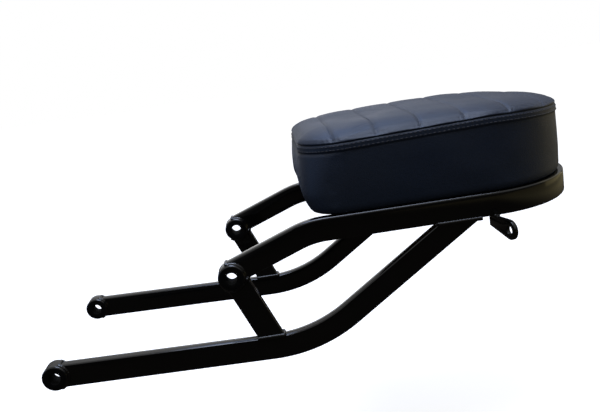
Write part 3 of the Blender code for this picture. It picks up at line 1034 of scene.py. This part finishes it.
def sew_channels(piece, cover):
    """Pull the top in along each sewn channel, with puckers where it ends.

    A pucker has its distance from the channel, its width and its depth. The
    side below the seam only drifts slightly in and out, as foam does.
    """
    normals = [vert.normal.copy() for vert in piece.data.vertices]
    for vert, normal in zip(piece.data.vertices, normals):
        x, y, z = vert.co
        height = above_seam(vert.co)
        if height < QUILT_START:
            if height < SIDE_DRIFT_TOP:
                drift = noise.noise(Vector((x * 22, y * 22, z * 30)))
                ease = (z - SEAT_FOOT_Z - SIDE_DRIFT_FOOT) / SIDE_DRIFT_EASE
                ease = max(0.0, min(1.0, ease))
                vert.co += normal * drift * SIDE_DRIFT * ease
            continue
        grip = min(1.0, (height - QUILT_START) / QUILT_EASE)
        offset = min((x - place for place in channel_places(cover)), key=abs)
        gap = abs(offset)
        groove = math.exp(-(gap / GROOVE_WIDTH) ** 1.3)
        pillow = math.cos(math.pi * min(1.0, gap / cover.channel_pitch * 2)) * 0.5 + 0.5
        drop = cover.channel_depth * groove + PILLOW_DEPTH * pillow
        edge = max(0.0, 1 - (height - QUILT_START) / PUCKER_REACH)
        pucker = sum(
            math.exp(-((gap - away) / width) ** 2) * depth
            for away, width, depth in PUCKERS
        )
        drop += pucker * edge
        slack = noise.noise(Vector((x * 30, y * 18, z * 10))) * TOP_SLACK
        vert.co -= normal * (drop * grip - slack * grip)


def stitch_shape(cover):
    """Model one stitch: a short thread that dips into the cover at both ends."""
    bpy.ops.object.select_all(action="DESELECT")
    bpy.ops.mesh.primitive_uv_sphere_add(
        segments=8, ring_count=6, radius=cover.thread_width / 2,
        rotation=(0.0, math.pi / 2, 0.0),
    )
    stitch = bpy.context.object
    bpy.ops.object.transform_apply(location=False, rotation=True, scale=False)
    stitch.scale.x = cover.stitch_pitch * STITCH_SHARE / cover.thread_width
    bpy.ops.object.transform_apply(location=False, rotation=False, scale=True)
    reach = cover.stitch_pitch * STITCH_SHARE / 2
    for vert in stitch.data.vertices:
        vert.co.z -= (vert.co.x / reach) ** 2 * cover.thread_width * STITCH_DIP
    return take_shape("stitch")


def on_cover(tree, origin, heading):
    """Return where a line meets the cover, and which way the cover faces there."""
    place, normal, _, _ = tree.ray_cast(origin, heading)
    if place is None:
        raise RuntimeError("a stitch misses the cover")
    return place, normal


class SEATRACK_OT_cushion(bpy.types.Operator):
    """Build the cushion: crowned, swollen by its foam and quilted across"""

    bl_idname = "seatrack.cushion"
    bl_label = "Cushion"

    def execute(self, context):
        cover = context.scene.seat_rack_cover
        cushion = loft("quilted_cushion", cover_levels(cover))
        swell(cushion, cover.swell)
        refine(cushion)
        sew_channels(cushion, cover)
        leather = grained_leatherette(tuple(cover.leather))
        paint_piece(cushion, leather)
        only(cushion)
        bpy.ops.object.shade_smooth()
        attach(cushion, "root")
        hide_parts("seat_cushion")
        return {"FINISHED"}


class SEATRACK_OT_stitching(bpy.types.Operator):
    """Sew the double row under the seam and a row along each channel"""

    bl_idname = "seatrack.stitching"
    bl_label = "Stitching"

    def execute(self, context):
        cover = context.scene.seat_rack_cover
        cushion = bpy.data.objects["quilted_cushion"]
        graph = context.evaluated_depsgraph_get()
        tree = BVHTree.FromObject(cushion, graph)
        stitch = stitch_shape(cover)
        thread = bonded_thread(tuple(cover.thread))
        rows = {
            "upper_seam_stitching": self.seam_row(tree, UPPER_ROW_RISE, cover),
            "lower_seam_stitching": self.seam_row(tree, LOWER_ROW_RISE, cover),
            "channel_stitching": self.channel_rows(tree, cover),
        }
        for name, places in rows.items():
            sewing = lay_copies(name, stitch, places)
            paint_piece(sewing, thread)
            only(sewing)
            bpy.ops.object.shade_smooth()
            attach(sewing, "root")
        return {"FINISHED"}

    def seam_row(self, tree, rise, cover):
        """Return the stitches of one row round the side, below the seam."""
        ring = [
            Vector((x, y, SEAT_FOOT_Z + seam_rise(x) + rise))
            for x, y in seat_ring(-ROW_CLEARANCE)
        ]
        up = Vector((0.0, 0.0, 1.0))
        places = []
        for origin, ahead in along(ring + ring[:1], cover.stitch_pitch):
            inward = up.cross(ahead)
            if inward.dot(Vector((ROW_CENTRE_X - origin.x, -origin.y, 0.0))) < 0:
                inward = -inward
            place, normal = on_cover(tree, origin, Vector((inward.x, inward.y, 0.0)))
            places.append((place, ahead, normal))
        return places

    def channel_rows(self, tree, cover):
        """Return the stitches along every channel, across the top."""
        down = Vector((0.0, 0.0, -1.0))
        places = []
        for x in channel_places(cover):
            reach = self.half_span(x) - CHANNEL_END
            count = int(2 * reach / cover.stitch_pitch)
            for step in range(count):
                y = -reach + (step + 0.5) * 2 * reach / count
                place, normal = on_cover(tree, Vector((x, y, ABOVE_SEAT_Z)), down)
                ahead = Vector((0.0, 1.0, 0.0)) - normal * normal.y
                places.append((place, ahead.normalized(), normal))
        return places

    def half_span(self, x):
        """Return the cushion's half width at a place along it."""
        if x > SEAT_ROUND_X:
            share = (x - SEAT_ROUND_X) / SEAT_REAR_REACH
            return SEAT_HALF_WIDTH * math.sqrt(1 - share ** 2)
        into_corner = SEAT_FRONT_X + SEAT_FRONT_CORNER - x
        if into_corner > 0:
            left = math.sqrt(SEAT_FRONT_CORNER ** 2 - into_corner ** 2)
            return SEAT_HALF_WIDTH - (SEAT_FRONT_CORNER - left)
        return SEAT_HALF_WIDTH


class SEATRACK_OT_base(bpy.types.Operator):
    """Finish the seat's base board and its fasteners"""

    bl_idname = "seatrack.base"
    bl_label = "Base and fasteners"

    def execute(self, context):
        steel = context.scene.seat_rack_steel
        plywood = birch_plywood(tuple(steel.plywood))
        paint_piece(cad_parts["seat_base_board"], plywood)
        zinc = zinc_plate(tuple(steel.zinc))
        for name in FASTENER_NODES:
            paint_piece(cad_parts[name], zinc)
        return {"FINISHED"}


class SEATRACK_OT_studio(bpy.types.Operator):
    """Set the floor, the soft lights and the camera"""

    bl_idname = "seatrack.studio"
    bl_label = "Studio"

    def execute(self, context):
        studio = context.scene.seat_rack_studio
        self.lay_floor(studio)
        self.light_world(context)
        self.hang_lights()
        self.place_camera(context, studio)
        context.scene.view_settings.view_transform = "Standard"
        return {"FINISHED"}

    def lay_floor(self, studio):
        """Lay a pale paper floor that keeps the object's faint shadow.

        The camera sees it white all round. In the gloss it is white only well
        behind the object: elsewhere it is dark, and warm wood beyond the heel.
        """
        bpy.ops.object.select_all(action="DESELECT")
        bpy.ops.mesh.primitive_plane_add(
            size=FLOOR_SIZE, location=(FLOOR_CENTRE_X, 0.0, -studio.floor_drop)
        )
        floor = bpy.context.object
        floor.name = "studio_floor"
        bpy.ops.object.transform_apply(location=True, rotation=False, scale=False)
        material = bpy.data.materials.new("white_paper_sweep")
        material.use_nodes = True
        tree = material.node_tree
        tree.nodes.clear()
        paper = add_node(tree, "ShaderNodeBsdfDiffuse", {"Color": tuple(studio.floor)})
        glow = add_node(
            tree, "ShaderNodeEmission", {"Color": WHITE, "Strength": FLOOR_GLOW}
        )
        place = add_node(tree, "ShaderNodeTexCoord").outputs["Object"]
        split = add_node(tree, "ShaderNodeSeparateXYZ", {"Vector": place})
        heel_end = add_node(
            tree, "ShaderNodeMapRange",
            {"Value": split.outputs["X"], "From Min": 0.95, "From Max": 1.7},
            interpolation_type="SMOOTHSTEP",
        )
        wood = add_node(
            tree, "ShaderNodeMix",
            {"Factor": heel_end.outputs["Result"], "A": linear("#38332C"),
             "B": linear("#A0946E")},
            data_type="RGBA",
        )
        dim = add_node(tree, "ShaderNodeBsdfDiffuse", {"Color": wood.outputs["Result"]})
        bright = add_node(
            tree, "ShaderNodeAddShader",
            {0: paper.outputs["BSDF"], 1: glow.outputs["Emission"]},
        )
        behind = add_node(
            tree, "ShaderNodeMapRange",
            {"Value": split.outputs["Y"], "From Min": 2.5, "From Max": 5.0},
            interpolation_type="SMOOTHSTEP",
        )
        seen = add_node(
            tree, "ShaderNodeMixShader",
            {0: sees_background(tree, behind.outputs["Result"]), 1: dim.outputs["BSDF"],
             2: bright.outputs["Shader"]},
        )
        add_node(tree, "ShaderNodeOutputMaterial", {"Surface": seen.outputs["Shader"]})
        paint_piece(floor, material)

    def light_world(self, context):
        """Make the room white to the camera all round, and dim to other rays.

        Gloss and clear parts see it white only straight behind the object. The
        enamel needs the dark elsewhere. The ceiling and the far wall are paler.
        """
        world = bpy.data.worlds.new("white_studio")
        context.scene.world = world
        world.use_nodes = True
        tree = world.node_tree
        tree.nodes.clear()
        way = add_node(tree, "ShaderNodeTexCoord")
        split = add_node(
            tree, "ShaderNodeSeparateXYZ", {"Vector": way.outputs["Generated"]}
        )
        ceiling = add_node(
            tree, "ShaderNodeMapRange",
            {"Value": split.outputs["Z"], "From Min": 0.0, "From Max": 0.8,
             "To Min": 0.01, "To Max": 0.55},
            interpolation_type="SMOOTHSTEP",
        )
        far_wall = add_node(
            tree, "ShaderNodeMapRange",
            {"Value": split.outputs["Y"], "From Min": 0.1, "From Max": 0.9,
             "To Min": 0.0, "To Max": 0.13},
            interpolation_type="SMOOTHSTEP",
        )
        dim = add_node(
            tree, "ShaderNodeMath",
            {0: ceiling.outputs["Result"], 1: far_wall.outputs["Result"]},
            operation="ADD",
        )
        behind = add_node(
            tree, "ShaderNodeMapRange",
            {"Value": split.outputs["Y"], "From Min": 0.9, "From Max": 1.0},
            interpolation_type="SMOOTHSTEP",
        )
        strength = add_node(
            tree, "ShaderNodeMix",
            {"Factor": sees_background(tree, behind.outputs["Result"]),
             "A": dim.outputs["Value"], "B": 1.0},
            data_type="FLOAT",
        )
        room = add_node(
            tree, "ShaderNodeBackground",
            {"Color": WHITE, "Strength": strength.outputs["Result"]},
        )
        add_node(tree, "ShaderNodeOutputWorld", {"Surface": room.outputs["Background"]})

    def hang_lights(self):
        """Hang three cool soft boxes and, beyond the heel, a warm card.

        Each row has the name, place, width, power in watts and colour.
        """
        boxes = (
            ("overhead_box", (0.40, -0.15, 1.5), 0.8, 17.0, "#D3E1FF"),
            ("rear_box", (0.3, 1.0, 1.5), 0.8, 4.2, "#86B4FF"),
            ("front_card", (-1.2, -0.1, 0.35), 0.8, 1.6, "#8FB0E8"),
            ("heel_card", (1.7, 0.35, 0.45), 1.1, 1.5, "#E6D49A"),
        )
        for name, place, size, power, colour in boxes:
            bpy.ops.object.select_all(action="DESELECT")
            bpy.ops.object.light_add(type="AREA", location=place)
            lamp = bpy.context.object
            lamp.name = name
            lamp.data.shape = "SQUARE"
            lamp.data.size = size
            lamp.data.energy = power
            lamp.data.color = linear(colour)[:3]
            throw = Vector(LIGHT_AIM) - Vector(place)
            lamp.rotation_euler = throw.to_track_quat("-Z", "Y").to_euler()

    def place_camera(self, context, studio):
        """Place the camera as the photograph was taken."""
        yaw = studio.camera_yaw
        pitch = studio.camera_pitch
        roll = studio.camera_roll
        ahead = Vector((
            math.sin(yaw) * math.cos(pitch),
            math.cos(yaw) * math.cos(pitch),
            -math.sin(pitch),
        ))
        level = Vector((math.cos(yaw), -math.sin(yaw), 0.0))
        down = ahead.cross(level)
        right = level * math.cos(roll) + down * math.sin(roll)
        down = down * math.cos(roll) - level * math.sin(roll)
        bpy.ops.object.camera_add()
        camera = bpy.context.object
        camera.name = "studio_camera"
        camera.data.sensor_width = SENSOR_WIDTH
        camera.data.lens = studio.focal_length
        axes = Matrix((right, -down, -ahead)).transposed().to_4x4()
        camera.matrix_world = Matrix.Translation(Vector(studio.camera_place)) @ axes
        context.scene.camera = camera


OPERATORS = (
    SEATRACK_OT_tubes,
    SEATRACK_OT_fittings,
    SEATRACK_OT_welds,
    SEATRACK_OT_cushion,
    SEATRACK_OT_stitching,
    SEATRACK_OT_base,
    SEATRACK_OT_studio,
)


class SEATRACK_PT_panel(bpy.types.Panel):
    """List the steps that dress the rack"""

    bl_label = "Passenger Seat Rack"
    bl_idname = "SEATRACK_PT_panel"
    bl_space_type = "VIEW_3D"
    bl_region_type = "UI"
    bl_category = "Seat Rack"

    def draw(self, context):
        for settings in (
            context.scene.seat_rack_cover,
            context.scene.seat_rack_steel,
            context.scene.seat_rack_studio,
        ):
            for key in settings.__annotations__:
                self.layout.prop(settings, key)
        for operator in OPERATORS:
            self.layout.operator(operator.bl_idname)


SETTINGS = {
    "seat_rack_cover": SeatRackCover,
    "seat_rack_steel": SeatRackSteel,
    "seat_rack_studio": SeatRackStudio,
}


def register():
    """Register the settings, the operators and the panel."""
    for name, group in SETTINGS.items():
        bpy.utils.register_class(group)
        setattr(bpy.types.Scene, name, bpy.props.PointerProperty(type=group))
    for item in (*OPERATORS, SEATRACK_PT_panel):
        bpy.utils.register_class(item)


def unregister():
    """Take the panel, the operators and the settings away again."""
    for item in (SEATRACK_PT_panel, *reversed(OPERATORS)):
        bpy.utils.unregister_class(item)
    for name, group in reversed(SETTINGS.items()):
        delattr(bpy.types.Scene, name)
        bpy.utils.unregister_class(group)


def main():
    """Register the steps and dress the rack."""
    register()
    bpy.ops.seatrack.tubes()
    bpy.ops.seatrack.fittings()
    bpy.ops.seatrack.welds()
    bpy.ops.seatrack.cushion()
    bpy.ops.seatrack.stitching()
    bpy.ops.seatrack.base()
    bpy.ops.seatrack.studio()


if __name__ == "__main__":
    main()
